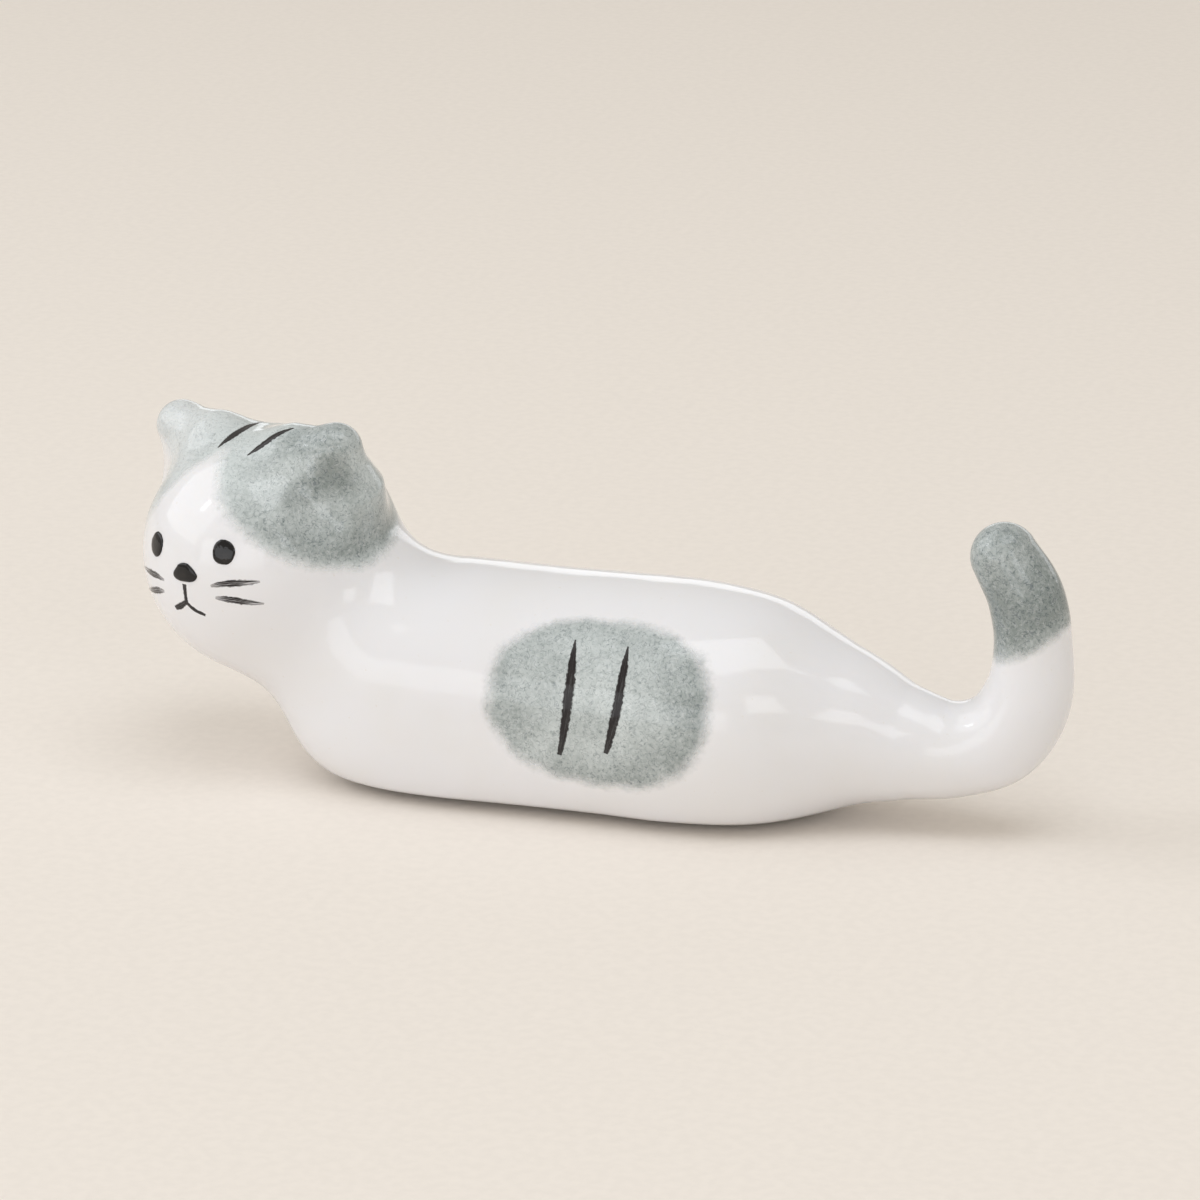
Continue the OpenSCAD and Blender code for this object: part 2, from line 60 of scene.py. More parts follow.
# Trunk from the shoulders back, in equal steps: spine height, half width, half height
TRUNK_SHARES = (
    (1, 0.93, 1), (1, 0.945, 0.99), (0.995, 0.97, 1),
    (0.975, 1, 1.01), (0.94, 0.92, 0.93), (0.9, 0.63, 0.66),
)
# Tail from its root to its tip: reach, height, thickness
TAIL_SHARES = (
    (0.31, 0.296, 1.24), (0.59, 0.291, 1.01), (0.83, 0.354, 0.985), (0.97, 0.502, 0.92),
    (0.9954, 0.69, 0.81), (0.95, 0.861, 0.785), (0.83, 1, 0.7),
)
# Lower edge of the crown's wash, from its parting over the forehead round to the back,
# as shares of a right angle: over the cat's left side, then over its right side
LEFT_EDGE_SHARES = (0.4, 0.78, 1.015, 1.095, 1.03, 0.97, 0.97)
RIGHT_EDGE_SHARES = (0.4, 0.98, 1.06, 1.07, 1.03, 0.97, 0.97)
# Brushed lines: across and up in shares of the eye gap, then the share of the line's width
PHILTRUM_SHARES = ((-0.01, -0.07, 1), (-0.015, -0.16, 0.85), (-0.025, -0.25, 0.9))
LEFT_MOUTH_SHARES = ((-0.03, -0.27, 0.8), (0.05, -0.34, 0.85), (0.18, -0.405, 0.6))
RIGHT_MOUTH_SHARES = ((-0.04, -0.275, 0.9), (-0.14, -0.33, 1.2), (-0.225, -0.365, 0.9))
LEFT_CROWN_SHARES = (
    (0.35, 1.57, 0.2), (0.43, 1.71, 0.8), (0.51, 1.86, 0.8), (0.6, 2.01, 0.25),
)
RIGHT_CROWN_SHARES = (
    (-0.12, 1.62, 0.2), (-0.085, 1.83, 1), (-0.075, 2.08, 0.8), (-0.1, 2.36, 0.25),
)
# Whiskers in shares of the whisker reach, from the nose outward
UPPER_WHISKER_SHARES = (
    (0.4, -0.06, 0.35), (0.55, -0.035, 0.9), (0.8, -0.025, 1), (1, -0.02, 0.4),
)
LOWER_WHISKER_SHARES = (
    (0.44, -0.22, 0.4), (0.6, -0.245, 1), (0.82, -0.31, 0.9), (1, -0.37, 0.35),
)
# Flank stripes in shares of the patch's half length, half height and the stripe's width
FRONT_STRIPE_SHARES = (
    (-0.28, -0.7, 0.15), (-0.265, -0.4, 0.8), (-0.265, 0, 1), (-0.29, 0.4, 0.8),
    (-0.33, 0.68, 0.5),
)
REAR_STRIPE_SHARES = (
    (0.2, -0.68, 0.15), (0.205, -0.4, 0.75), (0.195, 0, 0.95), (0.15, 0.35, 0.85),
    (0.11, 0.58, 0.5),
)
# How square a rounded section is: 2 is round, more is squarer
BACK_POWER, BELLY_POWER, CHEST_POWER, PATCH_POWER = 2.2, 2.8, 2.5, 2.3

# Halvings of the search along a ray, and the slope from which a ray can meet the foot's plane
RAY_HALVINGS, DOWNWARD = 24, -0.05
# Rings of the skin, and the most that its box may differ from its node's box
CROWN_RINGS, NECK_RINGS, TRUNK_RINGS, END_RINGS = 99, 91, 210, 15
SKIN_DRIFT = 0.0004
# Rings, then columns, of the washes and of the drops; points along and across a brushed line
CROWN_WASH_RINGS = 140
FLANK_WASH_GRID = (60, 144)
TAIL_WASH_GRID = (64, 128)
DROP_GRID = (15, 72)
LINE_GRID = (72, 13)

# Crown's wash: how far its rows run past the edge, as an angle and a length, and how soft the
# edge is: least at the parting, and full beyond the second of two angles
CROWN_PARTS, CROWN_OVERRUN, CROWN_FADE = (0.001, 1), 0.2, 0.001
SOFT_LEAST, SOFT_ANGLES = 0.35, (0.25, 1.2)
# Soft steps of the crown's pigment, between two lengths: from the middle of an ear's hollow
# (thinned for a painted reflection in the right one, darkened as painted shade in the left one),
# toward the cat's left, upward, and inward from the wash's edge
RIGHT_HOLLOW_REFLECTION, LEFT_HOLLOW_SHADE, LEFT_SHADE_TOP = (0.0038, 0.0049), (0.0034, 0.0052), (0.0045, 0.008)
LEFTWARD, LOW_LEFT, LOW, RIM = (-0.0075, 0.001), (0, 0.006), (0.007, 0.001), (0.0, 0.0012)
TOP, EAR_SIDE = (0.0075, 0.0095), (0.003, 0.006)
MIDDLE, MIDDLE_TOP = (0.006, 0.003), (0.004, 0.008)
# Least density in the right hollow, where the thin wash is a painted reflection, and toward the
# cat's right;
# how much pigment pools, and how much painted shade darkens the left hollow
REFLECTION_THIN, RIGHT_THIN = 0.12, 0.66
HOLLOW_SHADE, LOW_POOL, TOP_POOL, MIDDLE_POOL = 1.4, 0.7, 0.4, -0.25
# The same for a flank's patch: along and down together, rearward, and as shares of its ring
REAR_LOW, REAR_RING = (0, 0.007), (0.3, 0.9)
FRONT, OUTER_RING = (-0.002, -0.007), (0.55, 1)
FLANK_POOL, FLANK_PARTS = 0.3, (0.002, 1.2)
# The same for the tail's tip, over the wash's edge
TAIL_POOL_START, TAIL_POOL_END = (0.0, 0.002), (0.007, 0.003)
TAIL_POOL, EDGE_POOL, TAIL_OVERRUN, TIP_GAP = 0.58, 0.4, 0.3, 0.002

# A brushed line's strip: reach across, past each end, least share of the width, bulge
STRIP_REACH, STRIP_END, STRIP_LEAST, STRIP_BULGE = 1.35, 0.0001, 0.12, 0.00002
# Waves round a raised drop's outline: from the first count to the last, their strength, and
# the most that one is turned; where the eyes' and the nose's chances start
DROP_WAVES, DROP_WOBBLE, DROP_SHIFT = (3, 16), 0.03, 6.3
EYE_SEED, NOSE_SEED, NOSE_CORNERS = 5, 11, 0.1

# Sizes of the lumps of noise, in metres
WAVE_LUMP, PEEL_LUMP = 0.0050, 0.0012
WARM_LUMP, PINHOLE_LUMP = 0.009, 0.00035
EDGE_LUMP, FRAY_LUMP = 0.0022, 0.00035
POOL_LUMP, FINE_LUMP, CURL_LUMP, GRAIN_LUMP = 0.0028, 0.0003, 0.00042, 0.0002
BRISTLE_LUMP, INK_LUMP = 0.00028, 0.0007
ENAMEL_LUMP, DIMPLE_LUMP = 0.0006, 0.0005
GRIT_LUMP, TOOTH_LUMP = 0.00018, 0.0009
# Depths of the bumps, in metres
GLAZE_DEPTH, ENAMEL_DEPTH, GRIT_DEPTH = 0.0001, 0.00002, 0.00003
# Porcelain: noise values between which warm clouds and pinholes show, and their strengths
WARM_SHOWS, WARMTH, PINHOLE_SHOWS, PINHOLE_DARK, PEEL = (0.4, 0.75), 0.3, (0.74, 0.82), 0.35, 0.1
# Wash: the same for its edge (in mm), clouds, curls and grains, and what makes it deeper
EDGE_RAGGED, EDGE_FRAYED, EDGE_SHOWS = 1.1, 0.4, (-0.75, 0.6)
CLOUD_SHOWS, CURL_SHOWS, GRAIN_SHOWS, GRAIN_DARK = (0.3, 0.75), (0.0, 0.045), (0.64, 0.76), 0.3
CLOUD_DEPTH, POOL_DEPTH, FINE_DEPTH, DENSITY_DEPTH, DENSITY_MIDDLE = 0.32, 0.75, 0.7, 0.4, 0.7
CURL_DARK, CURL_POOLED, THIN_SPREAD, THIN_LEAST = 0.38, 0.3, 0.4, 0.74
# Streaks of a brush: how many per metre of a stroke, and how many across its half
STREAKS_ALONG, STREAKS_ACROSS = 420, 3.4
WET_BRUSH, DRY_BRUSH = 0.07, 0.72
INK_RAGGED, INK_SHOWS, DRY_SHOWS, DRY_ENDS, INK_UNEVEN = 0.75, (0.0, 0.3), (0.46, 0.7), 0.12, 0.12

# Softboxes: name, place, width and height, watts
SOFTBOXES = (
    ("left_softbox", (-0.58, -0.12, 0.40), (0.66, 0.60), 1.46),
    ("window_box", (-0.50, -0.22, 0.43), (0.05, 0.11), 0.094),
    ("front_softbox", (-0.30, -0.95, 0.16), (1.10, 0.42), 1.92),
    ("right_softbox", (0.42, -0.55, 0.36), (0.24, 0.22), 0.31),
    ("top_softbox", (0.12, -0.12, 0.62), (0.50, 0.34), 1.02),
    ("rear_softbox", (0.10, 1.20, 0.25), (1.60, 0.30), 1.6),
)
LAMP_TINT, LAMP_AIM = (0.915, 0.95, 1.0), (0, 0, 0.012)
AIR_TINT, AIR_LIGHT = (1.0, 0.945, 0.86), 0.545
FLOOR_SIZE = 6.0
# The camera's aim point, sensor width in mm, shift as shares of the picture, and clip distances
CAMERA_AIM, SENSOR = (0.0013, 0, 0.013), 36
CAMERA_SHIFT, CAMERA_CLIP = (-16 / 1200, 35 / 1200), (0.01, 20)


def length(name, description, default):
    """A size in metres."""
    return FloatProperty(
        name=name, description=description, default=default, min=0, precision=5, unit="LENGTH"
    )


def angle(name, description, degrees):
    """An angle, given in degrees."""
    return FloatProperty(
        name=name, description=description, default=math.radians(degrees),
        unit="ROTATION", subtype="ANGLE",
    )


def share(name, description, default, **limits):
    """A share of another measure."""
    return FloatProperty(
        name=name, description=description, default=default, subtype="FACTOR", **limits
    )


def colour(name, description, red, green, blue):
    """A colour as it shows, in steps of 255, kept as the light it reflects."""
    shown = [c / 255 for c in (red, green, blue)]
    light = [c / 12.92 if c <= 0.04045 else ((c + 0.055) / 1.055) ** 2.4 for c in shown]
    return FloatVectorProperty(
        name=name, description=description, default=light, min=0, max=1, size=3, subtype="COLOR"
    )


class HeadSizes(PropertyGroup):
    width: length("Width", "Across the cheeks", 0.0204)
    height: length("Height", "From chin to crown, without the ears", 0.0198)
    lift: length("Lift", "From the table to the head's centre", 0.0174)
    reach: length("Reach", "From the shoulders forward to the head's centre", 0.0173)
    turn: angle("Turn", "From the body's line to the face", 69)
    roll: angle("Roll", "Tilt of the crown toward the cat's right", 5.5)
    neck_blend: length("Neck blend", "Fillet between head and body", 0.0052)


class EarSizes(PropertyGroup):
    tip_gap: length("Tip gap", "Between the middles of the ear tips", 0.0162)
    tip_rise: length("Tip rise", "From the head's centre to the ear tips", 0.00915)
    tip_d: length("Tip diameter", "Diameter of the round ear tip", 0.0036)
    root_gap: length("Root gap", "Between the middles of the ear roots", 0.015)
    root_rise: length("Root rise", "From the head's centre to the ear roots", 0.0056)
    root_d: length("Root diameter", "Diameter of the broad ear root", 0.0064)
    lean: length("Lean", "From the root ahead to the tip", 0.0008)
    uneven: length("Uneven", "Height of the right ear over the left one", 0.0006)
    rim_gap: length("Rim gap", "Between the front rims' inner ends", 0.009)
    rim_rise: length("Rim rise", "From the head's centre to those ends", 0.0083)
    rim_lead: length("Rim lead", "From the head's centre ahead to those ends", 0.0008)
    rim_d: length("Rim diameter", "Diameter of a rim at its inner end", 0.0048)
    rim_blend: length("Rim blend", "Fillet between a rim and its ear", 0.001)
    blend: length("Blend", "Fillet round an ear", 0.0028)
    hollow_d: length("Hollow diameter", "Diameter of the hollow in an ear's front", 0.0062)
    hollow_lead: length("Hollow lead", "From the tip ahead to the hollow's middle", 0.0044)
    hollow_out: length("Hollow out", "From the tip outward to the hollow's middle", 0.0028)
    hollow_drop: length("Hollow drop", "From the tip down to the hollow's middle", 0.0034)
    hollow_blend: length("Hollow blend", "Width of the hollow's soft rim", 0.0018)


class TrunkSizes(PropertyGroup):
    length: length("Length", "From the shoulders to the root of the tail", 0.03)
    chest_len: length("Chest length", "From the shoulders to the chest's front", 0.0158)
    haunch_w: length("Haunch width", "Width at the haunches", 0.0204)
    back_h: length("Back height", "Where the chopsticks lie", 0.0177)
    spine_h: length("Spine height", "Height of the line through the middle", 0.008)
    belly_round: length("Belly round", "Radius between flank and underside", 0.0016)
    nape_over: length("Nape over", "From the back up to the neck's turning line", 0.0023)
    foot_start: length("Foot start", "From the foot's front end to the shoulders", 0.0086)
    foot_h: length("Foot height", "Height of the bare foot under the glaze", 0.0004)


class TailSizes(PropertyGroup):
    reach: length("Reach", "From the tail's root to the back of its bend", 0.0145)
    height: length("Height", "Height of the middle of the tip", 0.0223)
    thickness: length("Thickness", "Thickness where the bend starts", 0.0074)
    wash_edge: share("Wash edge", "Lower edge of the grey tip, as a share", 0.65)
    wash_slant: share("Wash slant", "Rise of that edge toward the outside, as a share", 0.11)


class MarkSizes(PropertyGroup):
    parting: angle("Parting", "Turn of the crown wash's parting toward the cat's right", 13)
    patch_start: length("Patch start", "From the shoulders to a flank patch's middle", 0.0126)
    patch_drop: angle("Patch drop", "Turn from upright to a flank patch's middle", 74)
    patch_len: length("Patch length", "Length of a flank patch", 0.0174)
    patch_h: length("Patch height", "Height of a flank patch, round the flank", 0.0134)
    eye_gap: length("Eye gap", "Between the eyes, over the skin", 0.0072)
    eye_rise: length("Eye rise", "From the face's middle to the eyes", 0.00242)
    eye_w: length("Eye width", "Width of an eye", 0.00188)
    eye_h: length("Eye height", "Height of an eye", 0.0021)
    nose_rise: length("Nose rise", "From the face's middle to the nose", 0.00045)
    nose_w: length("Nose width", "Width of the nose", 0.0024)
    nose_h: length("Nose height", "Height of the nose", 0.0015)
    mouth_line_w: length("Mouth line width", "Width of the lines of the mouth", 0.0005)
    whisker_reach: length("Whisker reach", "From the nose to the whisker ends", 0.0064)
    whisker_w: length("Whisker width", "Width of a whisker", 0.00068)
    crown_stripe_w: length("Crown stripe width", "Width of a crown stripe", 0.0008)
    flank_stripe_w: length("Flank stripe width", "Width of a flank stripe", 0.0009)
    wash_film: length("Wash film", "Height of a wash over the skin", 0.00003)
    ink_film: length("Ink film", "Height of a mark over the skin", 0.00007)
    drop_h: length("Drop height", "Height of the raised eyes and nose", 0.00012)


class Finishes(PropertyGroup):
    white: colour("Porcelain", "White porcelain under clear glaze", 236, 236, 239)
    white_warm: colour("Warm porcelain", "Porcelain where the glaze lies thin", 232, 230, 226)
    wash_pale: colour("Pale wash", "Blue-grey wash where it lies thin", 207, 215, 215)
    wash_deep: colour("Deep wash", "Blue-grey wash where it lies thick", 134, 143, 141)
    wash_grain: colour("Wash grain", "Dark grains of pigment in the wash", 74, 88, 94)
    ink: colour("Ink", "Black brushed pigment", 34, 31, 33)
    enamel: colour("Enamel", "Black raised enamel of eyes and nose", 14, 13, 15)
    ink_thin: colour("Thin ink", "Black pigment where the brush ran dry", 84, 76, 72)
    clay: colour("Clay", "Bare ground foot", 222, 214, 202)


class Studio(PropertyGroup):
    camera_turn: angle("Camera turn", "Turn of the camera toward the tail", 17.5)
    camera_rise: angle("Camera rise", "Rise of the camera over the table", 18)
    camera_distance: length("Camera distance", "From the aim point to the camera", 0.45)
    lens: FloatProperty(
        name="Lens", description="Focal length in mm", default=173.475, unit="CAMERA"
    )
    floor: colour("Floor", "Warm pale floor", 244, 237, 229)
    key: share("Key", "Light of all softboxes, as a share", 1.0, min=0)


class CatRest(PropertyGroup):
    head: PointerProperty(type=HeadSizes, name="Head")
    ears: PointerProperty(type=EarSizes, name="Ears")
    trunk: PointerProperty(type=TrunkSizes, name="Trunk")
    tail: PointerProperty(type=TailSizes, name="Tail")
    marks: PointerProperty(type=MarkSizes, name="Marks")
    finishes: PointerProperty(type=Finishes, name="Finishes")
    studio: PointerProperty(type=Studio, name="Studio")
    columns: IntProperty(name="Columns", description="Faces round the skin", default=256, min=32)


def soft_min(a, b, width):
    """The smaller of two distances, rounded where they meet."""
    h = np.maximum(width - np.abs(a - b), 0) / width
    return np.minimum(a, b) - h * h * width / 4


def follow(rows, t, mirrored=False):
    """Place and direction on the smooth curve through rows, where t counts steps between them."""
    rows = np.asarray(rows, float)
    if mirrored:
        padded = np.concatenate([rows[1:2], rows, rows[-2:-1]])
    else:
        padded = np.concatenate([2 * rows[:1] - rows[1:2], rows, 2 * rows[-1:] - rows[-2:-1]])
    t = np.asarray(t, float)
    i = np.clip(np.floor(t).astype(int), 0, len(rows) - 2)
    u = (t - i)[..., None]
    a, b, c, d = (padded[i + k] for k in range(4))
    bend, twist = 2 * a - 5 * b + 4 * c - d, 3 * b - a - 3 * c + d
    place = (2 * b + (c - a) * u + bend * u ** 2 + twist * u ** 3) / 2
    return place, ((c - a) + 2 * bend * u + 3 * twist * u ** 2) / 2


def xyz(x, y, z):
    """Points from three arrays or numbers."""
    return np.stack(np.broadcast_arrays(x, y, z), axis=-1)


def step(low, high, value):
    """A smooth rise from 0 at low to 1 at high."""
    t = np.clip((value - low) / (high - low), 0, 1)
    return t * t * (3 - 2 * t)


class Skin:
    """The outer surface of the rest, from its sizes, as one field of blended forms."""

    def __init__(self, rest):
        self.rest = rest
        head, ears, trunk, tail = rest.head, rest.ears, rest.trunk, rest.tail
        level = np.array([math.sin(head.turn), -math.cos(head.turn), 0])
        straight_up = np.array([0, 0, 1.0])
        self.ahead = np.array([-math.cos(head.turn), -math.sin(head.turn), 0])
        self.left = level * math.cos(head.roll) + straight_up * math.sin(head.roll)
        self.up = straight_up * math.cos(head.roll) - level * math.sin(head.roll)
        self.shoulder_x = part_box("bare_foot")[0][0] + trunk.foot_start
        self.head_x = self.shoulder_x - head.reach
        self.pivot_h = trunk.back_h + trunk.nape_over
        self.trunk_half_h = trunk.back_h - trunk.spine_h
        self.middle = np.array([self.head_x, 0, head.lift])
        self.ears = []
        for side in (-1, 1):
            drop = side * ears.uneven / 2
            root = self.way(-ears.lean / 2, side * ears.root_gap / 2, ears.root_rise)
            tip = self.way(ears.lean / 2, side * ears.tip_gap / 2, ears.tip_rise - drop)
            hollow = self.way(ears.lean / 2 + ears.hollow_lead,
                              side * (ears.tip_gap / 2 + ears.hollow_out),
                              ears.tip_rise - drop - ears.hollow_drop)
            rim = self.way(ears.rim_lead, side * ears.rim_gap / 2, ears.rim_rise - drop)
            self.ears.append([self.middle + place for place in (root, tip, hollow, rim)])
        steps = len(TRUNK_SHARES) - 1
        rows = [
            (self.shoulder_x + trunk.length * i / steps, s[0] * trunk.spine_h,
             s[1] * trunk.haunch_w / 2, s[2] * self.trunk_half_h)
            for i, s in enumerate(TRUNK_SHARES)
        ]
        root_x = self.shoulder_x + trunk.length
        half = tail.thickness / 2
        rows += [(root_x + s[0] * tail.reach, s[1] * tail.height, s[2] * half, s[2] * half)
                 for s in TAIL_SHARES]
        self.stations = np.array(rows)
        self.last = len(rows) - 1

    def way(self, ahead, left, up):
        """A step in the turned and tilted head's own directions."""
        return (np.multiply.outer(ahead, self.ahead) + np.multiply.outer(left, self.left)
                + np.multiply.outer(up, self.up))

    def gap(self, p):
        """Distance from points to the skin of head and chest, negative inside."""
        head, ears, trunk = self.rest.head, self.rest.ears, self.rest.trunk
        half = np.array([head.width, head.width, head.height]) / 2
        q = (p - self.middle) / half
        k = np.linalg.norm(q, axis=-1)
        ball = k * (k - 1) / np.maximum(np.linalg.norm(q / half, axis=-1), 1e-9)
        c = p - np.array([self.shoulder_x, 0, trunk.spine_h])
        power = np.where(c[..., 2] < 0, BELLY_POWER, BACK_POWER)
        side = np.abs(c[..., 1]) / (TRUNK_SHARES[0][1] * trunk.haunch_w / 2)
        rise = np.abs(c[..., 2]) / self.trunk_half_h
        ring = (side ** power + rise ** power) ** (CHEST_POWER / power)
        k = ((np.abs(c[..., 0]) / trunk.chest_len) ** CHEST_POWER + ring) ** (1 / CHEST_POWER)
        chest = np.linalg.norm(c, axis=-1) * (1 - 1 / np.maximum(k, 1e-3))
        gap = soft_min(ball, chest, head.neck_blend)
        for root, tip, hollow, rim in self.ears:
            for foot, foot_d in ((root, ears.root_d), (rim, ears.rim_d)):
                run = tip - foot
                t = np.clip((p - foot) @ run / (run @ run), 0, 1)
                radius = (foot_d + (ears.tip_d - foot_d) * t) / 2
                cone = np.linalg.norm(p - foot - t[..., None] * run, axis=-1) - radius
                ear = cone if foot is root else soft_min(ear, cone, ears.rim_blend)
            gap = soft_min(gap, ear, ears.blend)
            bowl = np.linalg.norm(p - hollow, axis=-1) - ears.hollow_d / 2
            gap = -soft_min(-gap, bowl, ears.hollow_blend)
        return gap

    def cut(self, start, way, run):
        """A run along a ray, cut off softly at the plane over the foot."""
        down = way[..., 2] < DOWNWARD
        to_foot = (start[..., 2] - self.rest.trunk.foot_h) / np.where(down, -way[..., 2], 1)
        return np.where(down, soft_min(run, to_foot, self.rest.trunk.belly_round), run)

    def cast(self, start, way, lift=0.0):
        """Points at a height over the skin of head and chest, along rays from inside."""
        start, way = np.broadcast_arrays(start, way)
        low = np.zeros(way.shape[:-1])
        high = low + self.rest.head.width
        for _ in range(RAY_HALVINGS):
            mid = (low + high) / 2
            inside = self.gap(start + way * mid[..., None]) < lift
            low, high = np.where(inside, mid, low), np.where(inside, high, mid)
        return start + way * self.cut(start, way, (low + high) / 2)[..., None]

    def crown(self, tilt, turn, lift=0.0):
        """The crown of the head, by rays that open from straight up."""
        way = xyz(np.cos(turn) * np.sin(tilt), -np.sin(turn) * np.sin(tilt), np.cos(tilt))
        return self.cast(np.array([self.head_x, 0, self.pivot_h]), way, lift)

    def neck(self, swing, turn, lift=0.0):
        """Face, neck and chest, by sections that fan about a line over the nape."""
        reach = (self.rest.head.reach * np.sin(swing) ** 2
                 + (self.pivot_h - self.rest.trunk.spine_h) * np.cos(swing) ** 2)
        start = xyz(self.shoulder_x - reach * np.sin(swing), 0,
                    self.pivot_h - reach * np.cos(swing))
        way = xyz(np.cos(turn) * np.sin(swing), -np.sin(turn), np.cos(turn) * np.cos(swing))
        return self.cast(start, way, lift)

    def trunk(self, t, turn, lift=0.0):
        """Trunk and tail, by sections square to the spine."""
        t, turn = np.broadcast_arrays(t, turn)
        row, way = follow(self.stations, t)
        way = way[..., :2] / np.linalg.norm(way[..., :2], axis=-1, keepdims=True)
        squareness = np.maximum(0, 1 - t / (len(TRUNK_SHARES) - 1))
        power = 2 + (np.where(np.cos(turn) < 0, BELLY_POWER, BACK_POWER) - 2) * squareness
        ring = ((np.abs(np.sin(turn)) / row[..., 2]) ** power
                + (np.abs(np.cos(turn)) / row[..., 3]) ** power)
        start = xyz(row[..., 0], 0, row[..., 1])
        out = xyz(-way[..., 1] * np.cos(turn), -np.sin(turn), way[..., 0] * np.cos(turn))
        return start + out * (self.cut(start, out, ring ** (-1 / power)) + lift)[..., None]

    def tip(self, bend, turn, lift=0.0):
        """The round end of the tail."""
        bend, turn = np.broadcast_arrays(bend, turn)
        row, way = follow(self.stations, np.float64(self.last))
        way = way[:2] / np.linalg.norm(way[:2])
        out = xyz(-way[1] * np.cos(turn), -np.sin(turn), way[0] * np.cos(turn))
        along = np.array([way[0], 0, way[1]])
        radius = np.asarray(row[3] + lift)[..., None]
        return np.array([row[0], 0, row[1]]) + radius * (
            out * np.cos(bend)[..., None] + along * np.sin(bend)[..., None])

    def face(self, across, up, lift=0.0):
        """Places on the head, in lengths over the skin from the middle of the face."""
        side, rise = across / (self.rest.head.width / 2), up / (self.rest.head.width / 2)
        return self.cast(self.middle, self.way(
            np.cos(side) * np.cos(rise), np.sin(side), np.cos(side) * np.sin(rise)), lift)

    def flank(self, hand, along, down, lift=0.0):
        """Places on a flank, in lengths over the skin from the middle of its patch."""
        marks, trunk = self.rest.marks, self.rest.trunk
        t = (marks.patch_start + along) / trunk.length * (len(TRUNK_SHARES) - 1)
        return self.trunk(t, hand * (marks.patch_drop + down / (trunk.haunch_w / 2)), lift)


def round_turn(columns):
    """Angles once round, as one row."""
    return np.linspace(0, WHOLE, columns, endpoint=False)[None, :]


def walked(points):
    """The length walked over the points from the first row on."""
    steps = np.diff(points, axis=0, prepend=points[:1])
    return np.linalg.norm(steps, axis=-1).cumsum(axis=0)


def smooth_mesh(name, points, faces):
    """A smooth-shaded mesh object, made of points in metres."""
    mesh = bpy.data.meshes.new(name)
    mesh.from_pydata(points.reshape(-1, 3), [], faces)
    mesh.update()
    mesh.polygons.foreach_set("use_smooth", np.ones(len(mesh.polygons), bool))
    piece = bpy.data.objects.new(name, mesh)
    bpy.context.collection.objects.link(piece)
    return piece


def ring_faces(rows, columns, closed=True):
    """Four-sided faces between rings, which close round or end at an edge."""
    steps = columns if closed else columns - 1
    i, j = np.meshgrid(np.arange(rows - 1), np.arange(steps), indexing="ij")
    a, b = i * columns + j, i * columns + (j + 1) % columns
    return np.stack([a, a + columns, b + columns, b], axis=-1).reshape(-1, 4).tolist()


def closed_skin(name, rings, first, last):
    """A closed skin over a stack of rings, with a point at each end."""
    rows, columns = rings.shape[:2]
    points = np.vstack([rings.reshape(-1, 3), first, last])
    faces = ring_faces(rows, columns)
    end = rows * columns
    for j in range(columns):
        k = (j + 1) % columns
        faces += [(end, j, k), (end + 1, end - columns + k, end - columns + j)]
    return smooth_mesh(name, points, faces)


def film(name, points, closed, painted):
    """An open film of colour, with what its finish reads kept at each point."""
    rows, columns = points.shape[:2]
    piece = smooth_mesh(name, points, ring_faces(rows, columns, closed))
    kept = piece.data.attributes.new("painted", "FLOAT_VECTOR", "POINT")
    kept.data.foreach_set("vector", xyz(*painted).astype(np.float32).ravel())
    for hidden in ("visible_shadow", "visible_diffuse", "visible_glossy", "visible_transmission"):
        setattr(piece, hidden, False)
    return piece


def settle(piece, slot, finish, *nodes):
    """Gives a piece its finish and its body, and hides the nodes that it stands for."""
    piece.data.materials.append(finish)
    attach(piece, BODY)
    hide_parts(*nodes)


def math_node(operation, swapped=False):
    """A method that joins a wire and another value by a Math node."""
    def join(wire, other):
        values = (other, wire) if swapped else (wire, other)
        return wire.paint.node("Math", {"operation": operation}, *values)
    return join


class Wire:
    """A number that a finish works out; sums and products of wires add Math nodes."""

    __add__, __sub__, __mul__ = math_node("ADD"), math_node("SUBTRACT"), math_node("MULTIPLY")
    __rsub__ = math_node("SUBTRACT", swapped=True)
    __pow__, least = math_node("POWER"), math_node("MINIMUM")

    def __init__(self, paint, socket):
        self.paint, self.socket = paint, socket

    def __abs__(self):
        return self.paint.node("Math", {"operation": "ABSOLUTE"}, self)

    def rise(self, low, high):
        """0 at low, 1 at high, smooth between, and level outside."""
        smooth = {"interpolation_type": "SMOOTHSTEP"}
        return self.paint.node("MapRange", smooth, self, low, high, 0.0, 1.0)


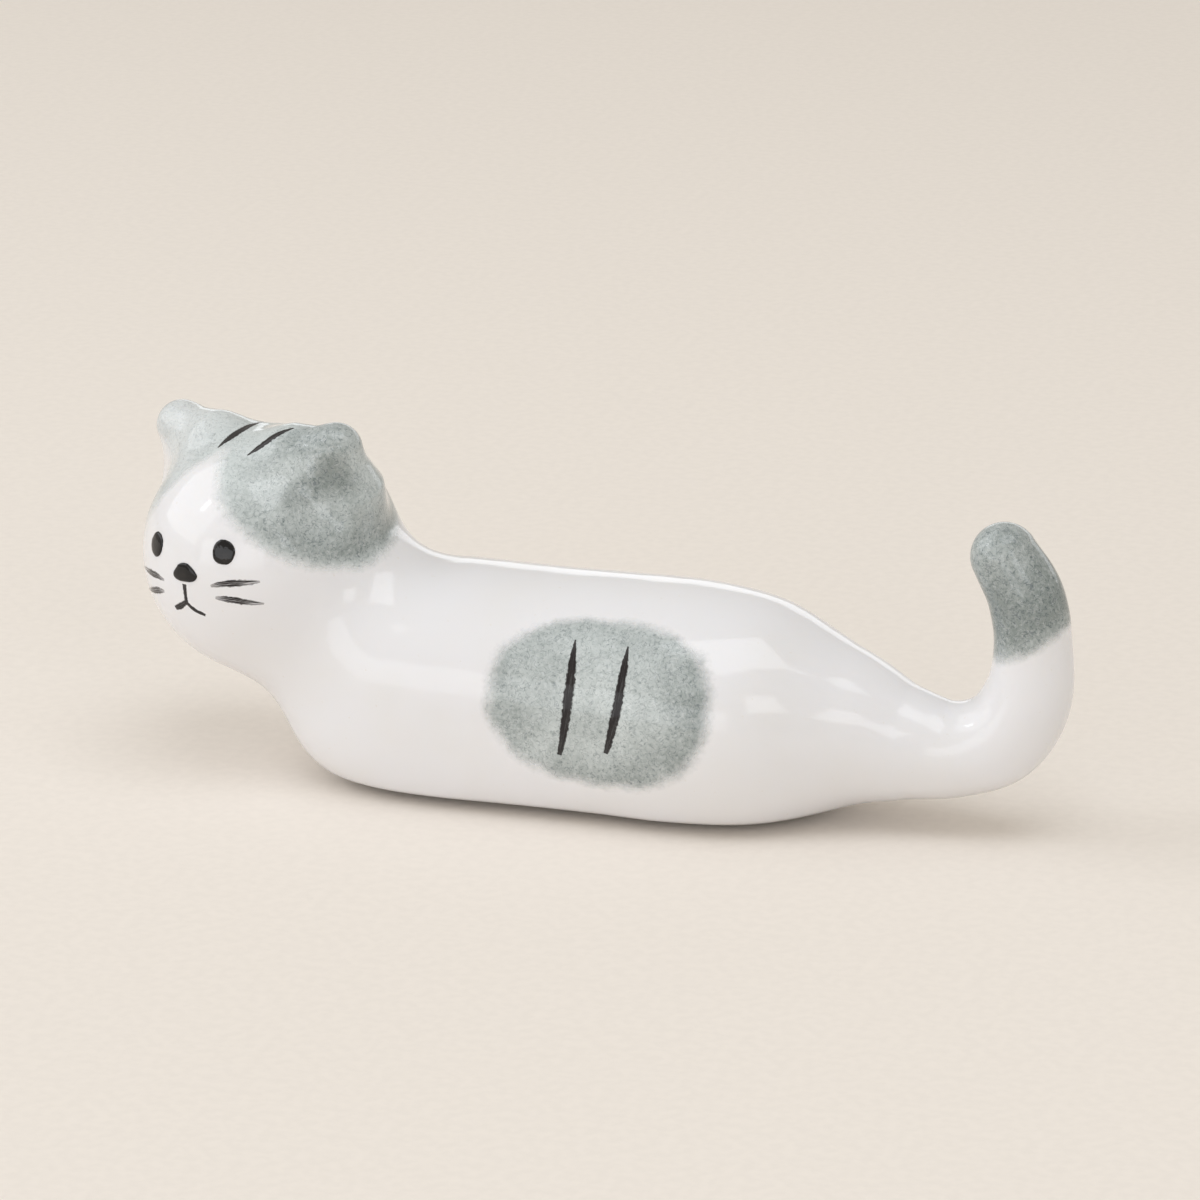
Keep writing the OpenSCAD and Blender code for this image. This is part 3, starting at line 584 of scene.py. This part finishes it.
class Paint:
    """One finish: a glossy shader, where its points lie in metres, and nodes that feed it."""

    def __init__(self, name, **constants):
        self.material = bpy.data.materials.new(name)
        self.material.use_nodes = True
        self.tree = self.material.node_tree
        self.tree.nodes.clear()
        self.shader = self.tree.nodes.new("ShaderNodeBsdfPrincipled")
        output = self.tree.nodes.new("ShaderNodeOutputMaterial")
        self.tree.links.new(self.shader.outputs["BSDF"], output.inputs["Surface"])
        self.feed(**constants)
        self.place = self.node("TexCoord", {}, output="Object")

    def join(self, value, socket):
        """Feeds a wire or a plain value to a socket."""
        if isinstance(value, Wire):
            self.tree.links.new(value.socket, socket)
        else:
            socket.default_value = value

    def node(self, kind, settings, *values, output=0, **named):
        """A node of a kind: settings, then its sockets' values or wires in order or by name."""
        made = self.tree.nodes.new("ShaderNode" + kind)
        for key, value in settings.items():
            setattr(made, key, value)
        for key, value in (*enumerate(values), *named.items()):
            self.join(value, made.inputs[key if isinstance(key, int) else key.replace("_", " ")])
        return Wire(self, made.outputs[output])

    def painted(self):
        """The three numbers that a film keeps at its points."""
        kept = self.node("Attribute", {"attribute_name": "painted"}, output="Vector")
        parts = self.node("SeparateXYZ", {}, kept)
        return [Wire(self, socket) for socket in parts.socket.node.outputs]

    def cloud(self, size, detail=2.0, roughness=0.5, **named):
        """Soft noise over the object with lumps of a size in metres, about 0.5 on average."""
        return self.node("TexNoise", {}, Vector=self.place, Scale=1 / size, Detail=detail,
                         Roughness=roughness, **named)

    def blend(self, factor, first, second):
        """A colour between two others, each a wire or three numbers."""
        mixed = self.node("Mix", {"data_type": "RGBA", "clamp_factor": True}, output=2)
        made = mixed.socket.node
        for socket, value in ((0, factor), (6, first), (7, second)):
            plain_colour = socket > 0 and not isinstance(value, Wire)
            self.join((*value, 1) if plain_colour else value, made.inputs[socket])
        return mixed

    def feed(self, **sockets):
        """Feeds the shader's sockets, and gives the material."""
        for name, value in sockets.items():
            self.join(value, self.shader.inputs[name.replace("_", " ")])
        return self.material

    def ripple(self, height, depth):
        """A normal from a height, with its depth in metres."""
        return self.node("Bump", {}, Strength=1.0, Distance=depth, Height=height)


# Body and washes share one gloss; brushed black shines less, raised enamel is smoother
GLOSS = {"Roughness": 0.09, "IOR": 1.5, "Specular_IOR_Level": 0.5}
PIGMENT_GLOSS = {**GLOSS, "Specular_IOR_Level": 0.28}
ENAMEL_GLOSS = {"Roughness": 0.05, "IOR": 1.5, "Specular_IOR_Level": 0.45}


def glaze_ripple(paint):
    """A normal from the glaze's height: slow waves from the hand, and a faint orange peel."""
    waves = paint.cloud(WAVE_LUMP, detail=1.0)
    return paint.ripple(waves + paint.cloud(PEEL_LUMP, detail=1.0) * PEEL, GLAZE_DEPTH)


def porcelain_finish(colours):
    """White porcelain under clear glaze: warm clouds, pinholes and a hand-made ripple."""
    paint = Paint("clear_glazed_porcelain", **GLOSS, Subsurface_Weight=0.12,
                  Subsurface_Scale=0.0015, Subsurface_Radius=(1.0, 0.85, 0.7))
    clouds = paint.cloud(WARM_LUMP)
    white = paint.blend(clouds.rise(*WARM_SHOWS) * WARMTH, colours.white, colours.white_warm)
    pinholes = paint.cloud(PINHOLE_LUMP, detail=1.0).rise(*PINHOLE_SHOWS)
    speckled = paint.blend(pinholes * PINHOLE_DARK, white, colours.clay)
    return paint.feed(Base_Color=speckled, Normal=glaze_ripple(paint))


def wash_finish(name, colours):
    """Blue-grey pigment brushed under glaze: soft ragged edge, pooled clouds and dark grains."""
    paint = Paint(name, **GLOSS)
    inside, density_and_reflection, pool_and_shade = paint.painted()
    ragged = ((paint.cloud(EDGE_LUMP) - 0.5) * EDGE_RAGGED
              + (paint.cloud(FRAY_LUMP) - 0.5) * EDGE_FRAYED)
    cover = (inside * 1000 + ragged).rise(*EDGE_SHOWS)
    clouds = paint.cloud(POOL_LUMP, detail=3.0).rise(*CLOUD_SHOWS)
    fine = paint.cloud(FINE_LUMP, detail=2.0, roughness=0.6)
    # The pool deepens the wash; on the crown it also carries painted shade in the left ear's
    # hollow, and the density a painted reflection in the right one
    depth = (clouds * CLOUD_DEPTH + pool_and_shade * POOL_DEPTH + (fine - 0.5) * FINE_DEPTH
             + (density_and_reflection - DENSITY_MIDDLE) * DENSITY_DEPTH)
    washed = paint.blend(depth, colours.wash_pale, colours.wash_deep)
    strands = paint.cloud(CURL_LUMP, detail=1.0, Distortion=0.8)
    curls = 1 - abs(strands - 0.5).rise(*CURL_SHOWS)
    grains = paint.cloud(GRAIN_LUMP, detail=1.0).rise(*GRAIN_SHOWS)
    dark = curls * (pool_and_shade * CURL_POOLED + CURL_DARK) + grains * GRAIN_DARK
    grained = paint.blend(dark, washed, colours.wash_grain)
    thin = (fine * THIN_SPREAD + THIN_LEAST).least(1.0)
    ripple = glaze_ripple(paint)
    return paint.feed(Base_Color=grained, Alpha=cover * density_and_reflection.least(1.0) * thin, Normal=ripple)


def ink_finish(name, colours, dryness):
    """Black pigment laid by a brush: ragged sides, and streaks where it ran dry."""
    paint = Paint(name, **PIGMENT_GLOSS)
    along, across, part = paint.painted()
    ragged = (paint.cloud(BRISTLE_LUMP, detail=2.0) - 0.5) * INK_RAGGED
    cover = (1 - abs(across) + ragged).rise(*INK_SHOWS)
    lane = paint.node("CombineXYZ", {}, along * STREAKS_ALONG, across * STREAKS_ACROSS)
    streak = paint.node("TexNoise", {}, Vector=lane, Scale=1.0, Detail=3.0, Roughness=0.6)
    ends = (abs(part - 0.5) * 2) ** 3
    dry = (streak + ends * DRY_ENDS).rise(*DRY_SHOWS) * dryness
    uneven = paint.cloud(INK_LUMP) * INK_UNEVEN
    shade = paint.blend(dry + uneven, colours.ink, colours.ink_thin)
    return paint.feed(Base_Color=shade, Alpha=cover * (1 - dry))


def drop_finish(name, colours):
    """A raised drop of black enamel."""
    paint = Paint(name, **ENAMEL_GLOSS)
    pale = paint.cloud(ENAMEL_LUMP).rise(0.4, 0.8) * 0.15
    shade = paint.blend(pale, colours.enamel, colours.ink_thin)
    height = paint.cloud(DIMPLE_LUMP, detail=2.0)
    return paint.feed(Base_Color=shade, Normal=paint.ripple(height, ENAMEL_DEPTH))


def clay_finish(colours):
    """Bare porcelain clay, ground flat: matte, with fine grit."""
    paint = Paint("ground_foot_clay", Roughness=0.85, IOR=1.45)
    grit = paint.cloud(GRIT_LUMP, detail=3.0)
    shade = paint.blend(grit.rise(0.45, 0.75) * 0.5, colours.clay, colours.white_warm)
    return paint.feed(Base_Color=shade, Normal=paint.ripple(grit, GRIT_DEPTH))


def floor_finish(studio):
    """Warm pale floor with a paper-like tooth."""
    paint = Paint("paper_floor", Roughness=0.9, Specular_IOR_Level=0.2)
    tooth = paint.cloud(TOOTH_LUMP, detail=4.0)
    darker = [c * 0.97 for c in studio.floor]
    shade = paint.blend(tooth.rise(0.3, 0.7), studio.floor, darker)
    return paint.feed(Base_Color=shade)


def finish_of(name, maker, *values):
    """A finish by name, made the first time that it is asked for."""
    return bpy.data.materials.get(name) or maker(name, *values)


class CATREST_OT_porcelain(Operator):
    """Build the white glazed skin of head, trunk and tail, and dress the bare foot"""
    bl_idname = "catrest.porcelain"
    bl_label = "Porcelain and foot"

    def execute(self, context):
        rest = context.scene.cat_rest
        skin = Skin(rest)
        turn = round_turn(rest.columns)
        tilts = np.linspace(0, QUARTER, CROWN_RINGS + 2)[1:-1, None]
        swings = np.linspace(QUARTER, 0, NECK_RINGS)[:, None]
        runs = np.linspace(0, skin.last, TRUNK_RINGS + 1)[1:, None]
        bends = np.linspace(0, QUARTER, END_RINGS + 2)[1:-1, None]
        rings = np.vstack([
            skin.crown(tilts, turn), skin.neck(swings, turn),
            skin.trunk(runs, turn), skin.tip(bends, turn),
        ])
        zero = np.zeros(1)
        top, end = skin.crown(zero, zero), skin.tip(zero + QUARTER, zero)
        piece = closed_skin("porcelain_skin", rings, top, end)
        low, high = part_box("porcelain_body")
        drift = max(np.abs(rings.min((0, 1)) - low).max(), np.abs(rings.max((0, 1)) - high).max())
        if drift > SKIN_DRIFT:
            raise RuntimeError(f"the skin is {drift * 1000:.2f} mm off the frame's body")
        settle(piece, "glazed_porcelain", porcelain_finish(rest.finishes), "porcelain_body")
        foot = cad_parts["bare_foot"]
        foot.data.materials.clear()
        foot.data.materials.append(clay_finish(rest.finishes))
        return {"FINISHED"}


class CATREST_OT_washes(Operator):
    """Lay the blue-grey washes on the crown, the flanks and the tip of the tail"""
    bl_idname = "catrest.washes"
    bl_label = "Grey washes"

    def execute(self, context):
        skin = Skin(context.scene.cat_rest)
        wash = finish_of("brushed_wash", wash_finish, skin.rest.finishes)
        self.crown(skin, wash)
        for hand, node in ((1, "left_flank_patch"), (-1, "right_flank_patch")):
            self.flank(skin, wash, hand, node)
        self.tail(skin, wash)
        return {"FINISHED"}

    def crown(self, skin, wash):
        """Rows run from the top of the head to past the wash's edge, where it fades."""
        rest = skin.rest
        turn = round_turn(rest.columns)
        parting = math.pi - rest.head.turn + rest.marks.parting
        off = (turn - parting + 3 * math.pi) % WHOLE - math.pi
        left, right = (
            follow(np.array(shares)[:, None], np.abs(off) / math.pi * (len(shares) - 1),
                   mirrored=True)[0][..., 0]
            for shares in (LEFT_EDGE_SHARES, RIGHT_EDGE_SHARES)
        )
        edge = np.where(off < 0, left, right) * QUARTER
        part = np.linspace(*CROWN_PARTS, CROWN_WASH_RINGS)[:, None]
        tilt = part * (edge + CROWN_OVERRUN)
        run = walked(skin.crown(tilt, turn))
        softness = SOFT_LEAST + (1 - SOFT_LEAST) * step(*SOFT_ANGLES, np.abs(off[0]))
        inside = np.empty_like(run)
        for j in range(rest.columns):
            to_edge = np.interp(edge[0, j], tilt[:, j], run[:, j])
            reach = min(to_edge + CROWN_FADE / softness[j], run[-1, j])
            tilt[:, j] = np.interp(part[:, 0] * reach, run[:, j], tilt[:, j])
            inside[:, j] = (to_edge - part[:, 0] * reach) * softness[j]
        points = skin.crown(tilt, turn, rest.marks.wash_film)
        density_and_reflection, pool_and_shade = self.crown_pigment(skin, points, inside)
        piece = film("crown_wash", points, True, (inside, density_and_reflection, pool_and_shade))
        settle(piece, "grey_wash", wash, "crown_patch")

    def crown_pigment(self, skin, points, inside):
        """How dense the crown's wash is, thinned in the right ear's hollow as a painted reflection,
        and how much of its pigment pools, deepened in the left ear's hollow as painted shade.
        """
        right_bowl, left_bowl = (np.linalg.norm(points - ear[2], axis=-1) for ear in skin.ears)
        leftward = (points - skin.middle) @ skin.left
        high = (points - skin.middle) @ skin.up
        # Painted reflection: the wash thins in the right ear's hollow so the white porcelain shows
        # through
        density_and_reflection = REFLECTION_THIN + (1 - REFLECTION_THIN) * step(*RIGHT_HOLLOW_REFLECTION, right_bowl)
        density_and_reflection = density_and_reflection * (RIGHT_THIN + (1 - RIGHT_THIN) * step(*LEFTWARD, leftward))
        # Painted shade: the wash darkens in the upper part of the left ear's hollow
        hollow = (1 - step(*LEFT_HOLLOW_SHADE, left_bowl)) * step(*LEFT_SHADE_TOP, high)
        low = step(*LOW, high) * step(*LOW_LEFT, leftward) * step(*RIM, inside)
        top = step(*TOP, high) * step(*EAR_SIDE, leftward)
        middle = step(*MIDDLE, np.abs(leftward)) * step(*MIDDLE_TOP, high)
        return density_and_reflection, (HOLLOW_SHADE * hollow + LOW_POOL * low + TOP_POOL * top
                         + MIDDLE_POOL * middle)

    def flank(self, skin, wash, hand, node):
        """Rings run out from the patch's middle to past its edge."""
        marks = skin.rest.marks
        rings, columns = FLANK_WASH_GRID
        turn = round_turn(columns) * -hand
        ring = np.abs(np.cos(turn)) ** PATCH_POWER + np.abs(np.sin(turn)) ** PATCH_POWER
        out = ring ** (-1 / PATCH_POWER)
        part = np.linspace(*FLANK_PARTS, rings)[:, None]
        along = part * marks.patch_len / 2 * out * np.cos(turn)
        down = part * marks.patch_h / 2 * out * np.sin(turn)
        points = skin.flank(hand, along, down, marks.wash_film)
        inside = (1 - part) * marks.patch_h / 2 * out
        rear_low = step(*REAR_LOW, along + down) * step(*REAR_RING, part)
        front_or_rim = np.maximum(step(*FRONT, along), step(*OUTER_RING, part))
        pool_and_shade = FLANK_POOL * (rear_low + front_or_rim)
        piece = film(node.replace("_patch", "_wash"), points, True, (inside, 1.0, pool_and_shade))
        settle(piece, "grey_wash", wash, node)

    def tail(self, skin, wash):
        """Rings run from under the wash's edge up over the tip."""
        tail, lift = skin.rest.tail, skin.rest.marks.wash_film
        rings, columns = TAIL_WASH_GRID
        turn = round_turn(columns)
        edge = tail.wash_edge + tail.wash_slant * (1 - np.cos(turn)) / 2
        rise = np.array([s[1] for s in TAIL_SHARES])
        start = len(TRUNK_SHARES) + np.interp(edge, rise[1:], np.arange(1, len(rise)))
        part = np.linspace(0, 1, rings)[:, None]
        t = start - TAIL_OVERRUN + (skin.last - start + TAIL_OVERRUN) * part
        bend = np.linspace(0, QUARTER - TIP_GAP, END_RINGS + 1)[1:, None]
        points = np.vstack([skin.trunk(t, turn, lift), skin.tip(bend, turn, lift)])
        run = walked(points)
        inside = run - [np.interp(start[0, j], t[:, j], run[:rings, j]) for j in range(columns)]
        near_edge = step(*TAIL_POOL_START, inside) * step(*TAIL_POOL_END, inside)
        pool_and_shade = TAIL_POOL + EDGE_POOL * near_edge
        piece = film("tail_wash", points, True, (inside, 1.0, pool_and_shade))
        settle(piece, "grey_wash", wash, "tail_tip_patch")


def brushed(node, chart, shares, scale, width, lift, ink):
    """A node's brushed line on a chart: a strip a little wider than it, crowned in its middle."""
    rows = np.array([(s[0] * scale[0], s[1] * scale[1], s[2] * width) for s in shares])
    count, points_across = LINE_GRID
    t = np.linspace(0, len(rows) - 1, count)[:, None]
    line, way = follow(rows, t[:, 0])
    way = way[:, :2] / np.linalg.norm(way[:, :2], axis=1, keepdims=True)
    across = np.linspace(-STRIP_REACH, STRIP_REACH, points_across)[None, :]
    reach = np.linspace(-STRIP_END, STRIP_END, count)
    half = np.maximum(line[:, 2:3], width * STRIP_LEAST) / 2
    u = line[:, 0:1] + across * half * -way[:, 1:2] + (reach * way[:, 0])[:, None]
    v = line[:, 1:2] + across * half * way[:, 0:1] + (reach * way[:, 1])[:, None]
    points = chart(u, v, lift + STRIP_BULGE * np.maximum(0, 1 - across ** 2))
    along = walked(points[:, points_across // 2])[:, None]
    piece = film(f"{node}_ink", points, False, (along, across, t / (len(rows) - 1)))
    settle(piece, "black_mark", ink, node)


def drop(node, skin, middle, size, seed, enamel, corners=0.0):
    """A node's raised drop of enamel on the face, with a slightly uneven outline."""
    chart, marks = skin.face, skin.rest.marks
    rings, columns = DROP_GRID
    turn = round_turn(columns)
    chance = np.random.default_rng(seed)
    wobble = 1 - corners * np.sin(3 * turn)
    for count in range(DROP_WAVES[0], DROP_WAVES[1] + 1):
        wave = DROP_WOBBLE / count * chance.normal()
        wobble = wobble + wave * np.sin(count * turn + chance.uniform(0, DROP_SHIFT))
    part = np.linspace(0, 1, rings + 1)[1:, None]
    u = middle[0] + part * (size[0] / 2) * wobble * np.cos(turn)
    v = middle[1] + part * (size[1] / 2) * wobble * np.sin(turn)
    dome = marks.drop_h * np.sqrt(np.maximum(0, 1 - part ** 3))
    upper, under = chart(u, v, marks.wash_film + dome)[::-1], chart(u[-1:], v[-1:])
    u, v = np.array(middle)[:, None]
    top, centre = chart(u, v, marks.wash_film + marks.drop_h), chart(u, v)
    piece = closed_skin(f"{node}_drop", np.vstack([under, upper]), centre, top)
    settle(piece, "black_mark", enamel, node)


class CATREST_OT_face(Operator):
    """Lay the eyes and the nose, and brush the mouth and the whiskers"""
    bl_idname = "catrest.face"
    bl_label = "Face"

    def execute(self, context):
        skin = Skin(context.scene.cat_rest)
        marks, colours = skin.rest.marks, skin.rest.finishes
        ink = finish_of("black_ink", ink_finish, colours, WET_BRUSH)
        dry = finish_of("dry_ink", ink_finish, colours, DRY_BRUSH)
        enamel = finish_of("black_enamel", drop_finish, colours)
        for side, node in ((1, "left_eye"), (-1, "right_eye")):
            drop(node, skin, (side * marks.eye_gap / 2, marks.eye_rise),
                 (marks.eye_w, marks.eye_h), EYE_SEED + side, enamel)
        drop("nose", skin, (0, marks.nose_rise), (marks.nose_w, marks.nose_h),
             NOSE_SEED, enamel, NOSE_CORNERS)
        scale = (marks.eye_gap, marks.eye_gap)
        for node, shares in (("philtrum_line", PHILTRUM_SHARES),
                             ("left_mouth_stroke", LEFT_MOUTH_SHARES),
                             ("right_mouth_stroke", RIGHT_MOUTH_SHARES)):
            brushed(node, skin.face, shares, scale, marks.mouth_line_w, marks.ink_film, ink)
        for side, word in ((1, "left"), (-1, "right")):
            scale = (side * marks.whisker_reach, marks.whisker_reach)
            for level, shares in (("upper", UPPER_WHISKER_SHARES), ("lower", LOWER_WHISKER_SHARES)):
                brushed(f"{word}_{level}_whisker", skin.face, shares, scale, marks.whisker_w,
                        marks.ink_film, dry)
        return {"FINISHED"}


class CATREST_OT_stripes(Operator):
    """Brush the stripes on the crown and on both flanks"""
    bl_idname = "catrest.stripes"
    bl_label = "Stripes"

    def execute(self, context):
        skin = Skin(context.scene.cat_rest)
        marks = skin.rest.marks
        ink = finish_of("black_ink", ink_finish, skin.rest.finishes, WET_BRUSH)
        scale = (marks.eye_gap, marks.eye_gap)
        for node, shares in (("left_crown_stripe", LEFT_CROWN_SHARES),
                             ("right_crown_stripe", RIGHT_CROWN_SHARES)):
            brushed(node, skin.face, shares, scale, marks.crown_stripe_w, marks.ink_film, ink)
        scale = (marks.patch_len / 2, marks.patch_h / 2)
        for hand, word in ((1, "left"), (-1, "right")):
            chart = partial(skin.flank, hand)
            for end, shares in (("front", FRONT_STRIPE_SHARES), ("rear", REAR_STRIPE_SHARES)):
                brushed(f"{word}_{end}_stripe", chart, shares, scale,
                        marks.flank_stripe_w, marks.ink_film, ink)
        return {"FINISHED"}


class CATREST_OT_studio(Operator):
    """Set the pale floor, the soft light and the camera"""
    bl_idname = "catrest.studio"
    bl_label = "Studio"

    def execute(self, context):
        scene = context.scene
        studio = scene.cat_rest.studio
        bpy.ops.mesh.primitive_plane_add(size=FLOOR_SIZE, location=(0, 0, 0))
        floor = context.object
        floor.name = "floor"
        floor.data.materials.append(floor_finish(studio))
        for name, place, size, watts in SOFTBOXES:
            self.lamp(name, place, size, watts * studio.key)
        world = bpy.data.worlds.new("studio_air")
        world.use_nodes = True
        air = world.node_tree.nodes["Background"]
        air.inputs["Color"].default_value = (*AIR_TINT, 1)
        air.inputs["Strength"].default_value = AIR_LIGHT
        scene.world = world
        scene.view_settings.view_transform = "Standard"
        self.camera(scene, studio)
        return {"FINISHED"}

    def lamp(self, name, place, size, watts):
        """A softbox that faces the middle of the object."""
        light = bpy.data.lights.new(name, "AREA")
        light.shape = "RECTANGLE"
        light.size, light.size_y = size
        light.energy, light.color = watts, LAMP_TINT
        lamp = bpy.data.objects.new(name, light)
        bpy.context.collection.objects.link(lamp)
        lamp.location = place
        lamp.visible_camera = False
        back = Vector(place) - Vector(LAMP_AIM)
        lamp.rotation_euler = back.to_track_quat("Z", "Y").to_euler()

    def camera(self, scene, studio):
        """A camera on the middle of the body, with the photograph's framing."""
        lens = bpy.data.cameras.new("camera")
        camera = bpy.data.objects.new("camera", lens)
        bpy.context.collection.objects.link(camera)
        turn, rise = studio.camera_turn, studio.camera_rise
        back = Vector((math.sin(turn) * math.cos(rise), -math.cos(turn) * math.cos(rise),
                       math.sin(rise)))
        camera.location = Vector(CAMERA_AIM) + back * studio.camera_distance
        camera.rotation_euler = back.to_track_quat("Z", "Y").to_euler()
        lens.sensor_width, lens.lens = SENSOR, studio.lens
        lens.shift_x, lens.shift_y = CAMERA_SHIFT
        lens.clip_start, lens.clip_end = CAMERA_CLIP
        scene.camera = camera


class CATREST_PT_panel(Panel):
    """Lists the steps that build the cat"""
    bl_idname = "CATREST_PT_panel"
    bl_label = "Cat chopstick rest"
    bl_space_type = "VIEW_3D"
    bl_region_type = "UI"
    bl_category = "Cat Rest"

    def draw(self, context):
        for maker in OPERATORS:
            self.layout.operator(maker.bl_idname)
        for group in ("head", "ears", "trunk", "tail", "marks", "finishes", "studio"):
            sizes = getattr(context.scene.cat_rest, group)
            box = self.layout.box()
            for name in sizes.__annotations__:
                box.prop(sizes, name)


GROUPS = (HeadSizes, EarSizes, TrunkSizes, TailSizes, MarkSizes, Finishes, Studio, CatRest)
OPERATORS = (
    CATREST_OT_porcelain, CATREST_OT_washes, CATREST_OT_face, CATREST_OT_stripes,
    CATREST_OT_studio,
)


def register():
    for kept in (*GROUPS, *OPERATORS, CATREST_PT_panel):
        bpy.utils.register_class(kept)
    bpy.types.Scene.cat_rest = PointerProperty(
        type=CatRest, name="Cat rest", description="The cat's sizes"
    )


def unregister():
    del bpy.types.Scene.cat_rest
    for kept in reversed((*GROUPS, *OPERATORS, CATREST_PT_panel)):
        bpy.utils.unregister_class(kept)


def main():
    register()
    bpy.ops.catrest.porcelain()
    bpy.ops.catrest.washes()
    bpy.ops.catrest.face()
    bpy.ops.catrest.stripes()
    bpy.ops.catrest.studio()


if __name__ == "__main__":
    main()
